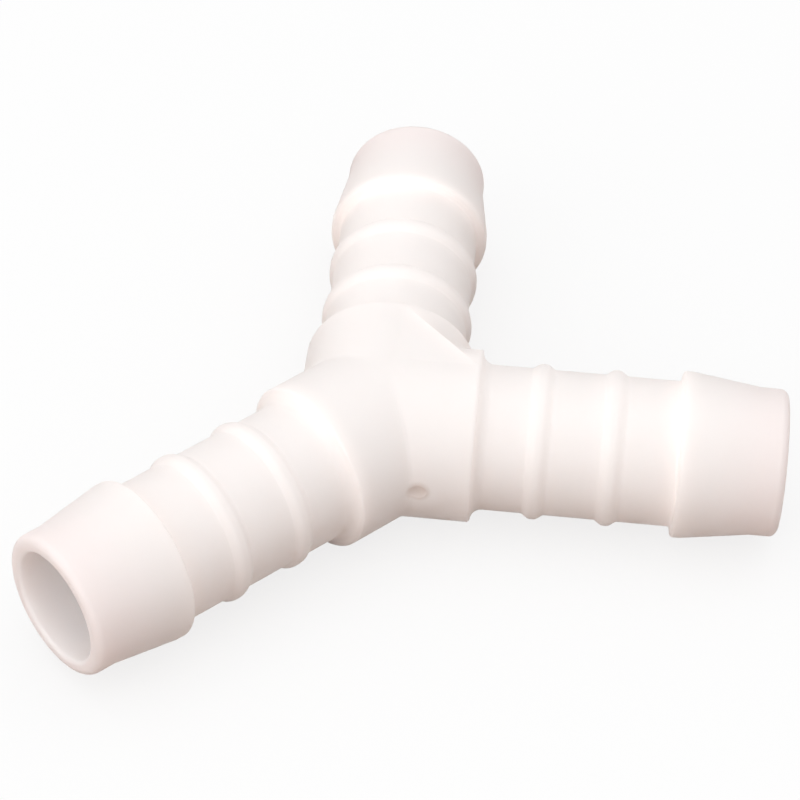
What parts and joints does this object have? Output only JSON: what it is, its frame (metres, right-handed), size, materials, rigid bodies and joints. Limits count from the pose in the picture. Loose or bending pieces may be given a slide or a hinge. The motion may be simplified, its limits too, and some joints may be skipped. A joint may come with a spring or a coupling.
{
  "type": "tubing y connector",
  "caption": "Moulded Y connector for flexible hose: a stem and a pair of branches at a right angle, each a barbed and ribbed tail on a short collared hub.",
  "frame": {"origin": "where the axes of the three legs cross, in the middle of the hub", "axes": "+X halves the angle between the branches, with the stem along -X; +Y towards the left branch; +Z square to the plane of the legs"},
  "size_m": [0.0604, 0.0547, 0.0142],
  "materials": {
    "body": "natural off-white moulded polypropylene with a satin skin"
  },
  "bodies": {
    "root": {"y_connector": "body"}
  },
  "joints": []
}
